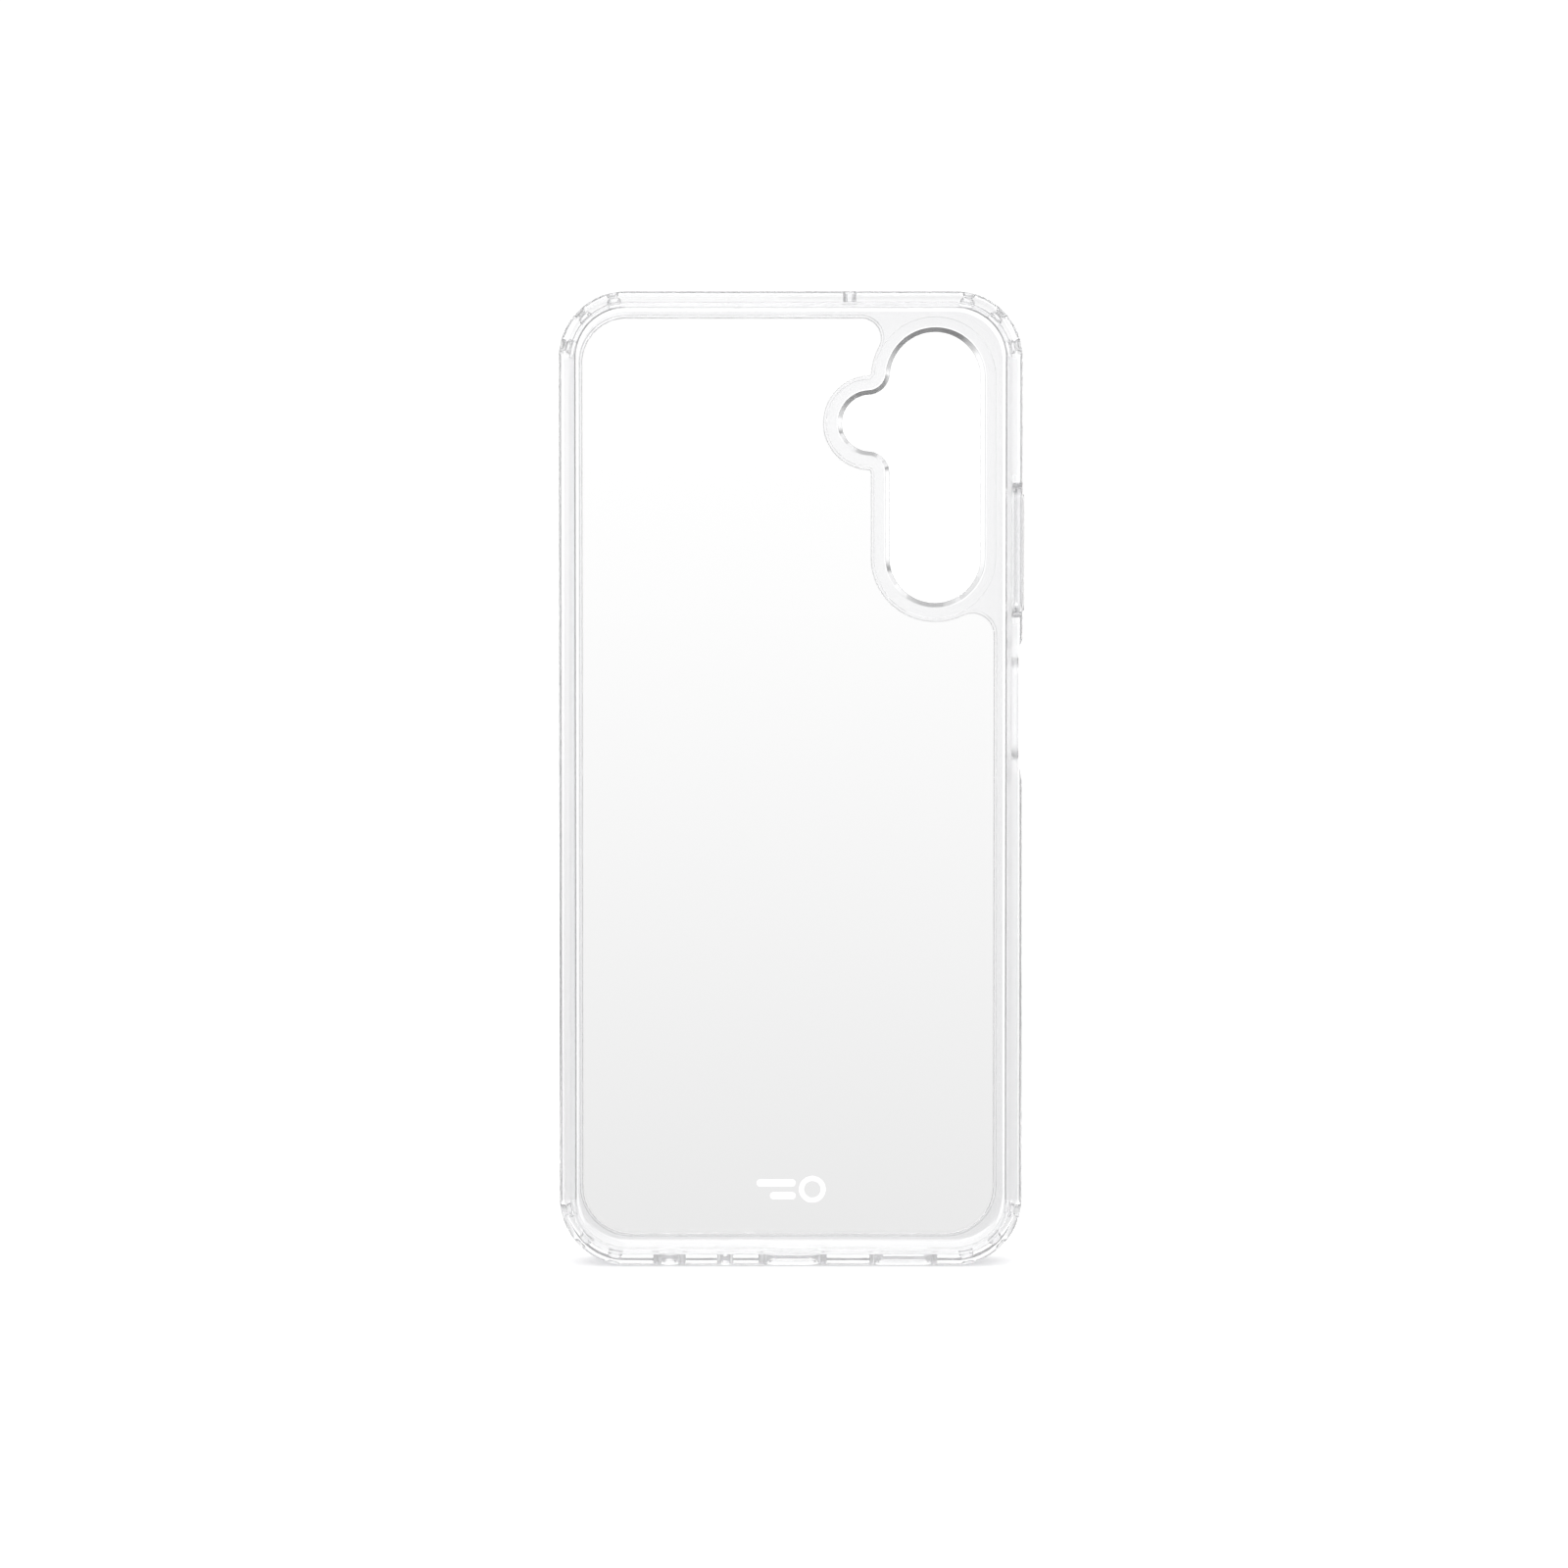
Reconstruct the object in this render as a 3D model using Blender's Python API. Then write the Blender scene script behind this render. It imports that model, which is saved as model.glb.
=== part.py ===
"""A clear phone case: a hard back panel held in a soft bumper frame.

The frame is one soft moulding with a front lip, a camera surround and air pockets in its corners.
Its volume key is a bar on a thin web that closes a window in the side wall. The bar rocks on the
web, and the web gives inwards.

The case stands upright. +Z is up, the open side faces -Y, and X = Y = 0 is the middle of the body.
Everything is in metres.
"""

import math

import bmesh
import bpy
from mathutils import Vector

# The phone that the case is made for.
PHONE_WIDTH = 0.0778
PHONE_HEIGHT = 0.1680
PHONE_DEPTH = 0.0088
PHONE_CORNER_RADIUS = 0.00993
PHONE_BACK_EDGE_RADIUS = 0.00135

# The moulding round it.
WALL = 0.00197
LIP_DEPTH = 0.0013
LIP_OVERHANG = 0.00115
BACK = 0.0014
BACK_EDGE_RADIUS = 0.0012
LIP_OUTER_RADIUS = 0.0007
LIP_FRONT_RADIUS = 0.0004
LIP_UNDER_RADIUS = 0.0003
UNDERCUT_RADIUS = 0.0004
CASE_WIDTH = PHONE_WIDTH + 2 * WALL
CASE_HEIGHT = PHONE_HEIGHT + 2 * WALL
CASE_DEPTH = LIP_DEPTH + PHONE_DEPTH + BACK
CORNER_RADIUS = PHONE_CORNER_RADIUS + WALL
RIM_Y = -CASE_DEPTH / 2
LIP_UNDER_Y = RIM_Y + LIP_DEPTH
FLOOR_Y = LIP_UNDER_Y + PHONE_DEPTH
BACK_Y = CASE_DEPTH / 2

# Clear space between pieces that meet.
GAP = 0.0003

# The hard back panel. Its outer half is wider than its inner half, so that the frame holds it.
PANEL_LEFT = -0.03715
PANEL_RIGHT = 0.0363
PANEL_TOP = 0.1678
PANEL_BOTTOM = 0.00416
PANEL_BOTTOM_RADIUS = 0.0086
PANEL_TOP_RADIUS = 0.0079
PANEL_LEDGE = 0.00055
LEDGE_Y = FLOOR_Y + BACK / 2
NOTCH_TOP_CORNER = (0.0126, 0.0035)
NOTCH_SIDE_CORNER = (0.1114, 0.00386)

# The camera opening is an upright capsule with a round lobe on its left.
CAPSULE_X = 0.0258
CAPSULE_TOP_Z = 0.1573
CAPSULE_BOTTOM_Z = 0.1252
CAPSULE_RADIUS = 0.00885
LOBE_X = 0.0142
LOBE_Z = 0.1492
LOBE_RADIUS = 0.00578
LOBE_FILLET = 0.00325
OPENING_TAPER = 0.00075
SURROUND_WIDTH = 0.0026
RIDGE_WIDTH = 0.0021
RIDGE_HEIGHT = 0.0006

# The volume key, in the right wall. Insets are measured from the wall's outer face.
KEY_WINDOW_Z = (0.11445, 0.13836)
KEY_WINDOW_DEPTH = 0.0056
KEY_BAR_Z = (0.1156, 0.1364)
KEY_BAR_DEPTH = 0.0032
KEY_BAR_EDGE_RADIUS = 0.0003
KEY_PROUD = 0.0005
KEY_WEB_INSETS = (0.00095, 0.0015)

# The side key's cut-out: a scoop across the wall, with a slot through it.
SCOOP_FLAT_Z = (0.0888, 0.1093)
SCOOP_Z = (0.08495, 0.1109)
SCOOP_DEPTH = 0.0008
SLOT_Z = (0.0895, 0.1075)
SLOT_DEPTH = 0.006

# Holes through the bottom wall: centre in X, length in X, depth in Y.
BOTTOM_HOLES = {
    "jack_hole": (-0.0215, 0.0058, 0.0058),
    "microphone_hole": (-0.0116, 0.0029, 0.0029),
    "charging_slot": (0.00035, 0.0122, 0.0065),
    "speaker_slot": (0.0200, 0.0121, 0.0050),
}
TOP_MICROPHONE = (0.0104, 0.0024, 0.0024)

# Air pockets in the inner wall, three to a corner, at angles from the vertical.
POCKET_ANGLES = (12, 45, 78)
POCKET_WIDTH = 0.0023
POCKET_INSET = 0.00115
POCKET_Y = (-0.0037, 0.0022)

CORNER_STEPS = 10
ROUND_STEPS = 3
HOLE_STEPS = 6

# The two plastics' colours, roughness and refractive index.
SOFT_COLOUR, SOFT_ROUGHNESS, SOFT_INDEX = (0.96, 0.97, 0.98), 0.12, 1.5
HARD_COLOUR, HARD_ROUGHNESS, HARD_INDEX = (0.98, 0.98, 0.99), 0.03, 1.58

# How far a cutting tool reaches past the outer faces, and past the inner ones.
PAST = 0.002
PAST_INSIDE = 0.0005

# How nearly an end's corner radius fills half the width, so that no edge of it has no length.
NEARLY_ROUND = 0.9999
WINDOW_ROUND = 0.995
KEY_ROUND = 0.99


def arc(centre, radius, start, end, steps):
    """Points on an arc, from one angle in degrees to another, both ends included."""
    angles = [math.radians(start + (end - start) * i / steps) for i in range(steps + 1)]
    return [Vector((centre[0] + radius * math.cos(a), centre[1] + radius * math.sin(a))) for a in angles]


def angle_to(centre, point):
    """The angle in degrees, from 0 to 360, of a point seen from a centre."""
    return math.degrees(math.atan2(point[1] - centre[1], point[0] - centre[0])) % 360


def rounded_box(low, high, radius, steps):
    """A rectangle with round corners, anticlockwise from its lowest right corner."""
    left, right = low[0] + radius, high[0] - radius
    bottom, top = low[1] + radius, high[1] - radius
    corners = [((right, bottom), -90), ((right, top), 0), ((left, top), 90), ((left, bottom), 180)]
    points = []
    for centre, start in corners:
        points += arc(centre, radius, start, start + 90, steps)
    return points


def pill(length, depth, steps):
    """A slot's outline about the origin, as long as `length` in its first direction."""
    radius = min(length, depth) / 2 * NEARLY_ROUND
    return rounded_box((-length / 2, -depth / 2), (length / 2, depth / 2), radius, steps)


def body_outline(inset):
    """The case's outline, moved inwards from its outer face."""
    low = (-CASE_WIDTH / 2 + inset, inset)
    high = (CASE_WIDTH / 2 - inset, CASE_HEIGHT - inset)
    return rounded_box(low, high, CORNER_RADIUS - inset, CORNER_STEPS)


def upper_fillet_centre(capsule_radius, lobe_radius, fillet_radius):
    """The centre of the circle that touches the capsule's top arc and the lobe from outside."""
    capsule = Vector((CAPSULE_X, CAPSULE_TOP_Z))
    lobe = Vector((LOBE_X, LOBE_Z))
    to_capsule = capsule_radius + fillet_radius
    to_lobe = lobe_radius + fillet_radius
    between = capsule - lobe
    along = (to_lobe**2 - to_capsule**2 + between.length_squared) / (2 * between.length)
    across = math.sqrt(to_lobe**2 - along**2)
    direction = between.normalized()
    return lobe + direction * along + Vector((-direction.y, direction.x)) * across


def opening_left_side(grow):
    """The left side of the camera opening from the capsule's bottom to its top, moved out by `grow`."""
    capsule_radius = CAPSULE_RADIUS + grow
    lobe_radius = LOBE_RADIUS + grow
    fillet_radius = LOBE_FILLET - grow
    lobe = (LOBE_X, LOBE_Z)
    edge_x = CAPSULE_X - capsule_radius
    lower_x = edge_x - fillet_radius
    lower_z = LOBE_Z - math.sqrt((lobe_radius + fillet_radius) ** 2 - (lower_x - LOBE_X) ** 2)
    lower = (lower_x, lower_z)
    upper = upper_fillet_centre(capsule_radius, lobe_radius, fillet_radius)
    top = (CAPSULE_X, CAPSULE_TOP_Z)
    points = arc(lower, fillet_radius, 0, angle_to(lower, lobe), HOLE_STEPS)
    points += arc(lobe, lobe_radius, angle_to(lobe, lower), angle_to(lobe, upper), 2 * HOLE_STEPS)[1:-1]
    points += arc(upper, fillet_radius, angle_to(upper, lobe) - 360, angle_to(upper, top) - 360, HOLE_STEPS)
    return points, angle_to(top, upper)


def opening_outline(grow):
    """The camera opening's outline, clockwise, moved out by `grow`."""
    radius = CAPSULE_RADIUS + grow
    left, top_angle = opening_left_side(grow)
    points = arc((CAPSULE_X, CAPSULE_BOTTOM_Z), radius, 360, 180, 2 * HOLE_STEPS)
    points += left
    points += arc((CAPSULE_X, CAPSULE_TOP_Z), radius, top_angle, 0, 2 * HOLE_STEPS)[1:]
    return points


def panel_outline(grow):
    """The back panel's outline on its inner face, moved out by `grow`. The camera surround notches it."""
    left, right = PANEL_LEFT - grow, PANEL_RIGHT + grow
    bottom, top = PANEL_BOTTOM - grow, PANEL_TOP + grow
    low_radius, high_radius = PANEL_BOTTOM_RADIUS + grow, PANEL_TOP_RADIUS + grow
    notch = SURROUND_WIDTH - grow
    side_z, side_radius = NOTCH_SIDE_CORNER[0], NOTCH_SIDE_CORNER[1] + grow
    top_x, top_radius = NOTCH_TOP_CORNER[0], NOTCH_TOP_CORNER[1] + grow
    side_corner = (right - side_radius, side_z)
    top_corner = (top_x, top - top_radius)
    low_arc = (CAPSULE_X, CAPSULE_BOTTOM_Z)
    high_arc = (CAPSULE_X, CAPSULE_TOP_Z)
    notch_left, notch_top_angle = opening_left_side(notch)
    radius = CAPSULE_RADIUS + notch

    points = arc((right - low_radius, bottom + low_radius), low_radius, -90, 0, CORNER_STEPS)
    points += arc(side_corner, side_radius, 0, angle_to(side_corner, low_arc), HOLE_STEPS)
    points += arc(low_arc, radius, angle_to(low_arc, side_corner), 180, 2 * HOLE_STEPS)[1:]
    points += notch_left
    points += arc(high_arc, radius, notch_top_angle, angle_to(high_arc, top_corner), HOLE_STEPS)[1:-1]
    points += arc(top_corner, top_radius, angle_to(top_corner, high_arc) - 360, 90, HOLE_STEPS)
    points += arc((left + high_radius, top - high_radius), high_radius, 90, 180, CORNER_STEPS)
    points += arc((left + low_radius, bottom + low_radius), low_radius, 180, 270, CORNER_STEPS)
    return points


def facing_y(outline, y):
    """An outline in X and Z, placed at a depth."""
    return [Vector((p[0], y, p[1])) for p in outline]


def facing_x(outline, x, centre_z):
    """An outline in Z and Y, placed across the side wall."""
    return [Vector((x, p[1], centre_z + p[0])) for p in outline]


def facing_z(outline, z, centre_x):
    """An outline in X and Y, placed across the top or bottom wall."""
    return [Vector((centre_x + p[0], p[1], z)) for p in outline]


def loft(name, loops):
    """A closed solid through loops of equal length, with a flat cap at each end."""
    model = bmesh.new()
    rings = [[model.verts.new(point) for point in loop] for loop in loops]
    model.faces.new(rings[0])
    model.faces.new(rings[-1])
    for lower, upper in zip(rings, rings[1:]):
        for i in range(len(lower)):
            j = (i + 1) % len(lower)
            model.faces.new((lower[i], lower[j], upper[j], upper[i]))
    bmesh.ops.recalc_face_normals(model, faces=model.faces)
    mesh = bpy.data.meshes.new(name)
    model.to_mesh(mesh)
    model.free()
    mesh.shade_smooth()
    mesh.set_sharp_from_angle(angle=math.radians(30))
    thing = bpy.data.objects.new(name, mesh)
    bpy.context.collection.objects.link(thing)
    return thing


def combine(body, tool, operation):
    """A live Boolean of a tool object on a body. The tool itself isn't part of the case."""
    tool.hide_render = True
    tool.display_type = "WIRE"
    change = body.modifiers.new(tool.name, "BOOLEAN")
    change.operation = operation
    change.solver = "EXACT"
    change.object = tool


def clear_plastic(name, colour, roughness, index):
    """A clear moulded plastic."""
    material = bpy.data.materials.new(name)
    material.use_nodes = True
    surface = material.node_tree.nodes["Principled BSDF"]
    surface.inputs["Base Color"].default_value = (*colour, 1)
    surface.inputs["Roughness"].default_value = roughness
    surface.inputs["Metallic"].default_value = 0
    surface.inputs["IOR"].default_value = index
    surface.inputs["Transmission Weight"].default_value = 1
    return material


def wall_section():
    """The wall's section as insets and depths: over the outside, round the lip and down to the floor."""
    lip_edge = WALL + LIP_OVERHANG
    rounds = [
        ((BACK_EDGE_RADIUS, BACK_Y - BACK_EDGE_RADIUS), BACK_EDGE_RADIUS, 90, 180),
        ((LIP_OUTER_RADIUS, RIM_Y + LIP_OUTER_RADIUS), LIP_OUTER_RADIUS, 180, 270),
        ((lip_edge - LIP_FRONT_RADIUS, RIM_Y + LIP_FRONT_RADIUS), LIP_FRONT_RADIUS, 270, 360),
        ((lip_edge - LIP_UNDER_RADIUS, LIP_UNDER_Y - LIP_UNDER_RADIUS), LIP_UNDER_RADIUS, 0, 90),
        ((WALL + UNDERCUT_RADIUS, LIP_UNDER_Y + UNDERCUT_RADIUS), UNDERCUT_RADIUS, 270, 180),
        ((WALL + PHONE_BACK_EDGE_RADIUS, FLOOR_Y - PHONE_BACK_EDGE_RADIUS), PHONE_BACK_EDGE_RADIUS, 180, 90),
    ]
    section = []
    for centre, radius, start, end in rounds:
        section += arc(centre, radius, start, end, ROUND_STEPS)
    return section


def camera_ridge():
    """The low ridge that stands proud of the back, round the camera opening."""
    top = BACK_Y + RIDGE_HEIGHT
    section = arc((RIDGE_WIDTH - RIDGE_HEIGHT, BACK_Y), RIDGE_HEIGHT, 0, 90, ROUND_STEPS)
    loops = [facing_y(opening_outline(RIDGE_WIDTH), FLOOR_Y + BACK / 2)]
    loops += [facing_y(opening_outline(p[0]), min(p[1], top)) for p in section]
    return loft("ridge_tool", loops)


def panel_aperture():
    """The stepped hole in the frame's back, a little larger than the panel that it holds."""
    inner = panel_outline(GAP / 2)
    outer = panel_outline(PANEL_LEDGE + GAP / 2)
    steps = [(inner, FLOOR_Y - PAST), (inner, LEDGE_Y), (outer, LEDGE_Y), (outer, BACK_Y + PAST)]
    return loft("panel_aperture_tool", [facing_y(outline, y) for outline, y in steps])


def camera_opening():
    """The hole for the cameras, which narrows towards the back."""
    top = BACK_Y + RIDGE_HEIGHT
    steps = [(0, FLOOR_Y - PAST), (0, FLOOR_Y), (-OPENING_TAPER, top), (-OPENING_TAPER, top + PAST)]
    return loft("camera_opening_tool", [facing_y(opening_outline(grow), y) for grow, y in steps])


def end_hole(name, hole, low, high):
    """A hole or slot through the bottom or top wall."""
    centre_x, length, depth = hole
    outline = pill(length, depth, HOLE_STEPS)
    return loft(name + "_tool", [facing_z(outline, z, centre_x) for z in (low, high)])


def side_window(name, z_range, depth, radius):
    """A hole through the right wall."""
    half = (z_range[1] - z_range[0]) / 2
    middle = sum(z_range) / 2
    outline = rounded_box((-half, -depth / 2), (half, depth / 2), radius, HOLE_STEPS)
    faces = (CASE_WIDTH / 2 - WALL - PAST_INSIDE, CASE_WIDTH / 2 + PAST)
    return loft(name + "_tool", [facing_x(outline, x, middle) for x in faces])


def side_scoop():
    """The shallow scoop across the right wall, steep at its top and long at its bottom."""
    face = CASE_WIDTH / 2
    slopes = [(face, SCOOP_Z[0]), (face + PAST, SCOOP_Z[0]), (face + PAST, SCOOP_Z[1]), (face, SCOOP_Z[1])]
    floor = [(face - SCOOP_DEPTH, SCOOP_FLAT_Z[1]), (face - SCOOP_DEPTH, SCOOP_FLAT_Z[0])]
    outline = slopes + floor
    return loft("side_scoop_tool", [facing_y(outline, y) for y in (RIM_Y - PAST, BACK_Y + PAST)])


def corner_pocket(name, centre, angle):
    """One air pocket, cut outwards from the cavity into a corner of the wall."""
    outwards = Vector((math.sin(math.radians(angle)), math.cos(math.radians(angle))))
    across = Vector((outwards.y, -outwards.x)) * POCKET_WIDTH / 2
    near = Vector(centre) + outwards * (CORNER_RADIUS - WALL - PAST_INSIDE)
    far = Vector(centre) + outwards * (CORNER_RADIUS - POCKET_INSET)
    outline = [near - across, far - across, far + across, near + across]
    return loft(name, [facing_y(outline, y) for y in POCKET_Y])


def corner_pockets():
    """Every corner's pockets. The angle is measured from straight up, towards the corner."""
    tools = []
    for side in (-1, 1):
        for up in (-1, 1):
            middle_z = CASE_HEIGHT / 2 + up * (CASE_HEIGHT / 2 - CORNER_RADIUS)
            centre = (side * (CASE_WIDTH / 2 - CORNER_RADIUS), middle_z)
            for angle in POCKET_ANGLES:
                turned = side * angle if up > 0 else 180 - side * angle
                where = ("left" if side < 0 else "right") + ("_top" if up > 0 else "_bottom")
                name = f"pocket_tool_{where}_{angle}"
                tools.append(corner_pocket(name, centre, turned))
    return tools


def bumper_frame():
    """The soft frame: a tub with its floor cut away for the panel and the cameras."""
    loops = [facing_y(body_outline(inset), y) for inset, y in wall_section()]
    frame = loft("bumper_frame", loops)
    combine(frame, camera_ridge(), "UNION")
    tools = [panel_aperture(), camera_opening(), side_scoop()]
    key_window_radius = KEY_WINDOW_DEPTH / 2 * WINDOW_ROUND
    tools.append(side_window("volume_key_window", KEY_WINDOW_Z, KEY_WINDOW_DEPTH, key_window_radius))
    tools.append(side_window("side_key_slot", SLOT_Z, SLOT_DEPTH, SLOT_DEPTH / 2 * WINDOW_ROUND))
    for name, hole in BOTTOM_HOLES.items():
        tools.append(end_hole(name, hole, -PAST, WALL + PAST_INSIDE))
    top_wall = CASE_HEIGHT - WALL
    tools.append(end_hole("top_microphone_hole", TOP_MICROPHONE, top_wall - PAST_INSIDE, CASE_HEIGHT + PAST))
    for tool in tools + corner_pockets():
        combine(frame, tool, "DIFFERENCE")
    return frame


def back_panel():
    """The hard panel, with the ledge round its outer half."""
    inner = panel_outline(-GAP / 2)
    outer = panel_outline(PANEL_LEDGE - GAP / 2)
    steps = [(inner, FLOOR_Y), (inner, LEDGE_Y + GAP), (outer, LEDGE_Y + GAP), (outer, BACK_Y)]
    return loft("back_panel", [facing_y(outline, y) for outline, y in steps])


def volume_key_web():
    """The thin web that closes the key's window."""
    half = (KEY_WINDOW_Z[1] - KEY_WINDOW_Z[0]) / 2 - GAP
    half_depth = KEY_WINDOW_DEPTH / 2 - GAP
    outline = rounded_box((-half, -half_depth), (half, half_depth), half_depth * KEY_ROUND, HOLE_STEPS)
    middle = sum(KEY_WINDOW_Z) / 2
    places = [CASE_WIDTH / 2 - inset for inset in KEY_WEB_INSETS]
    return loft("volume_key_web", [facing_x(outline, x, middle) for x in places])


def volume_key():
    """The bar that is pressed, with its origin on the line that it rocks about."""
    half = (KEY_BAR_Z[1] - KEY_BAR_Z[0]) / 2
    middle = sum(KEY_BAR_Z) / 2
    foot_x = CASE_WIDTH / 2 - KEY_WEB_INSETS[0] + GAP
    top_x = CASE_WIDTH / 2 + KEY_PROUD
    section = [(0, foot_x)]
    edge = arc((KEY_BAR_EDGE_RADIUS, top_x - KEY_BAR_EDGE_RADIUS), KEY_BAR_EDGE_RADIUS, 180, 90, ROUND_STEPS)
    section += [(p[0], p[1]) for p in edge]
    loops = []
    for inset, x in section:
        low = (-half + inset, -KEY_BAR_DEPTH / 2 + inset)
        high = (half - inset, KEY_BAR_DEPTH / 2 - inset)
        outline = rounded_box(low, high, (KEY_BAR_DEPTH / 2 - inset) * KEY_ROUND, HOLE_STEPS)
        loops.append(facing_x(outline, x - foot_x, 0))
    bar = loft("volume_key", loops)
    bar.location = (foot_x, 0, middle)
    return bar


def main():
    for thing in list(bpy.data.objects):
        bpy.data.objects.remove(thing)
    soft = clear_plastic("soft_clear_plastic", SOFT_COLOUR, SOFT_ROUGHNESS, SOFT_INDEX)
    hard = clear_plastic("hard_clear_plastic", HARD_COLOUR, HARD_ROUGHNESS, HARD_INDEX)
    for thing in (bumper_frame(), volume_key_web(), volume_key()):
        thing.data.materials.append(soft)
    back_panel().data.materials.append(hard)


main()
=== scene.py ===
"""The look of the clear phone case: fine meshes of its two mouldings, its key and a printed mark.

Every outline is made in real curves, at the sizes of the CAD frame, and lofted. Holes are cut with tools
that flare at their ends, so every rim is rounded. The case is lit as clear things are: a white field
behind it, and darker surroundings at the sides that its edges gather into thin lines.
"""
import math

import bmesh
import bpy
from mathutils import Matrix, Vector


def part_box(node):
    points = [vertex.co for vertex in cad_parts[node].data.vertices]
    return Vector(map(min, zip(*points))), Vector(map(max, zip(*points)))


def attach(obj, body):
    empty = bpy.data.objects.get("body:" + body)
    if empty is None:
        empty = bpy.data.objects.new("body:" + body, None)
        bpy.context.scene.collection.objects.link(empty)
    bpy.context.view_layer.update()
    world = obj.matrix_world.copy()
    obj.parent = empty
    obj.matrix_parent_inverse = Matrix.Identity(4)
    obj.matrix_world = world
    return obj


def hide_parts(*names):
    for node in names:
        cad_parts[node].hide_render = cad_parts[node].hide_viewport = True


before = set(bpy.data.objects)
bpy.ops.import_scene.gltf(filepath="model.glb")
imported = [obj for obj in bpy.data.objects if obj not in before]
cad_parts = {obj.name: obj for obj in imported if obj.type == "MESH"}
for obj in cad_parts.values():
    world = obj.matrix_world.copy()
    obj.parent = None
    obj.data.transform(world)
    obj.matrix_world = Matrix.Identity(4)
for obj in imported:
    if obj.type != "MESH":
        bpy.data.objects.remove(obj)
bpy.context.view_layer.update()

MM = 0.001

# The places that the frame gives.
FRAME_LOW, FRAME_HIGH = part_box("bumper_frame")
PANEL_LOW, PANEL_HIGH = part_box("back_panel")
KEY_LOW, KEY_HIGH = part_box("volume_key")
WEB_LOW, WEB_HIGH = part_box("volume_key_web")
HALF_WIDTH = FRAME_HIGH[0]
HEIGHT = FRAME_HIGH[2]
RIM_Y = FRAME_LOW[1]
FLOOR_Y = PANEL_LOW[1]
BACK_Y = PANEL_HIGH[1]
RIDGE_Y = FRAME_HIGH[1]

# The wall's section.
CORNER_RADIUS = 11.9 * MM
WALL = 1.97 * MM
LIP_OVERHANG = 1.15 * MM
LIP_DEPTH = 1.3 * MM
LIP_UNDER_Y = RIM_Y + LIP_DEPTH
BACK_EDGE_RADIUS = 1.2 * MM
LIP_OUTER_ROUND = (1.2 * MM, 2.0 * MM)
LIP_SLOPE, LIP_EASE = (0.27 * MM, 0.4 * MM), 0.08 * MM
LIP_UNDER_RADIUS = 0.3 * MM
UNDERCUT_RADIUS = 0.4 * MM
FLOOR_FILLET = 1.15 * MM

# The panel's seam in the frame.
CAD_HALF_GAP = 0.15 * MM
HALF_SEAM = 0.02 * MM
SEAM_SLOPE = (0.1 * MM, 0.16 * MM)
PANEL_LEDGE = 0.55 * MM
CAD_REACH = PANEL_LEDGE - CAD_HALF_GAP
PANEL_LEFT = PANEL_LOW[0] + CAD_REACH
PANEL_RIGHT = PANEL_HIGH[0] - CAD_REACH
PANEL_BOTTOM = PANEL_LOW[2] + CAD_REACH
PANEL_TOP = PANEL_HIGH[2] - CAD_REACH
PANEL_BOTTOM_RADIUS = 8.6 * MM
PANEL_TOP_RADIUS = 7.9 * MM
LEDGE_Y = (FLOOR_Y + BACK_Y) / 2
NOTCH_TOP_X, NOTCH_TOP_RADIUS = 12.6 * MM, 3.5 * MM
NOTCH_SIDE_Z, NOTCH_SIDE_RADIUS = 111.4 * MM, 3.86 * MM

# The camera opening.
CAPSULE_X = 25.8 * MM
CAPSULE_TOP_Z = 157.3 * MM
CAPSULE_BOTTOM_Z = 125.2 * MM
CAPSULE_RADIUS = 8.85 * MM
LOBE = (14.2 * MM, 149.2 * MM)
LOBE_RADIUS = 5.78 * MM
LOBE_FILLET = 3.25 * MM
OPENING_TAPER = 0.75 * MM
SURROUND_WIDTH = 2.6 * MM
RIDGE_WIDTH, RIDGE_ROUND = 1.99 * MM, 0.08 * MM

# The X, length and depth of each hole in the bottom wall: jack, microphone, charging slot and speaker.
BOTTOM_HOLES = (
    (-21.5 * MM, 5.8 * MM, 5.8 * MM), (-11.6 * MM, 2.9 * MM, 2.9 * MM),
    (0.35 * MM, 12.2 * MM, 6.5 * MM), (20.0 * MM, 12.1 * MM, 5.0 * MM),
)
TOP_HOLE = (10.4 * MM, 2.4 * MM, 2.4 * MM)
# The lowest and highest Z, depth and corner radius of each hole in the right wall.
KEY_WINDOW = (114.45 * MM, 138.36 * MM, 5.6 * MM, 2.79 * MM)
SENSOR_SLOT = (89.5 * MM, 107.5 * MM, 6 * MM, 2.99 * MM)
RIM_ROUND = 0.22 * MM
SCOOP_Z = (84.95 * MM, 88.8 * MM, 109.3 * MM, 110.9 * MM)
SCOOP_DEPTH, SCOOP_ROUND = 0.8 * MM, 0.9 * MM

# The air pockets. Their angles are from straight up or down, towards the corner.
POCKET_ANGLES = (12, 45, 78)
POCKET_WIDTH, POCKET_INSET, POCKET_ROUND = 2.6 * MM, 1.0 * MM, 0.5 * MM
POCKET_LOW_Y, POCKET_HIGH_Y = -3.7 * MM, 2.2 * MM

# The printed mark: its ring, and the X, length and Z of its two bars.
RING_X, RING_Z = 3.9 * MM, 12.0 * MM
RING_OUTER, RING_INNER = 2.4 * MM, 1.5 * MM
BARS = ((-2.6 * MM, 7.0 * MM, 13.15 * MM), (-1.4 * MM, 4.6 * MM, 10.85 * MM))
BAR_HEIGHT = 1.3 * MM
INK, INK_CLEARANCE = 0.03 * MM, 0.01 * MM

# The satin finish on the fronts of the long walls: its width, its ends, and its break beside the key.
SATIN_INNER, SATIN_FULL = 2.9 * MM, 2.8 * MM
SATIN_DEEP, SATIN_SHALLOW = 0.04 * MM, 0.02 * MM
SATIN_END, SATIN_FADE = 11 * MM, 12.5 * MM
KEY_MIDDLE_Z = 126.4 * MM
KEY_CLEAR, KEY_FADE = 12.5 * MM, 13.5 * MM

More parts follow.
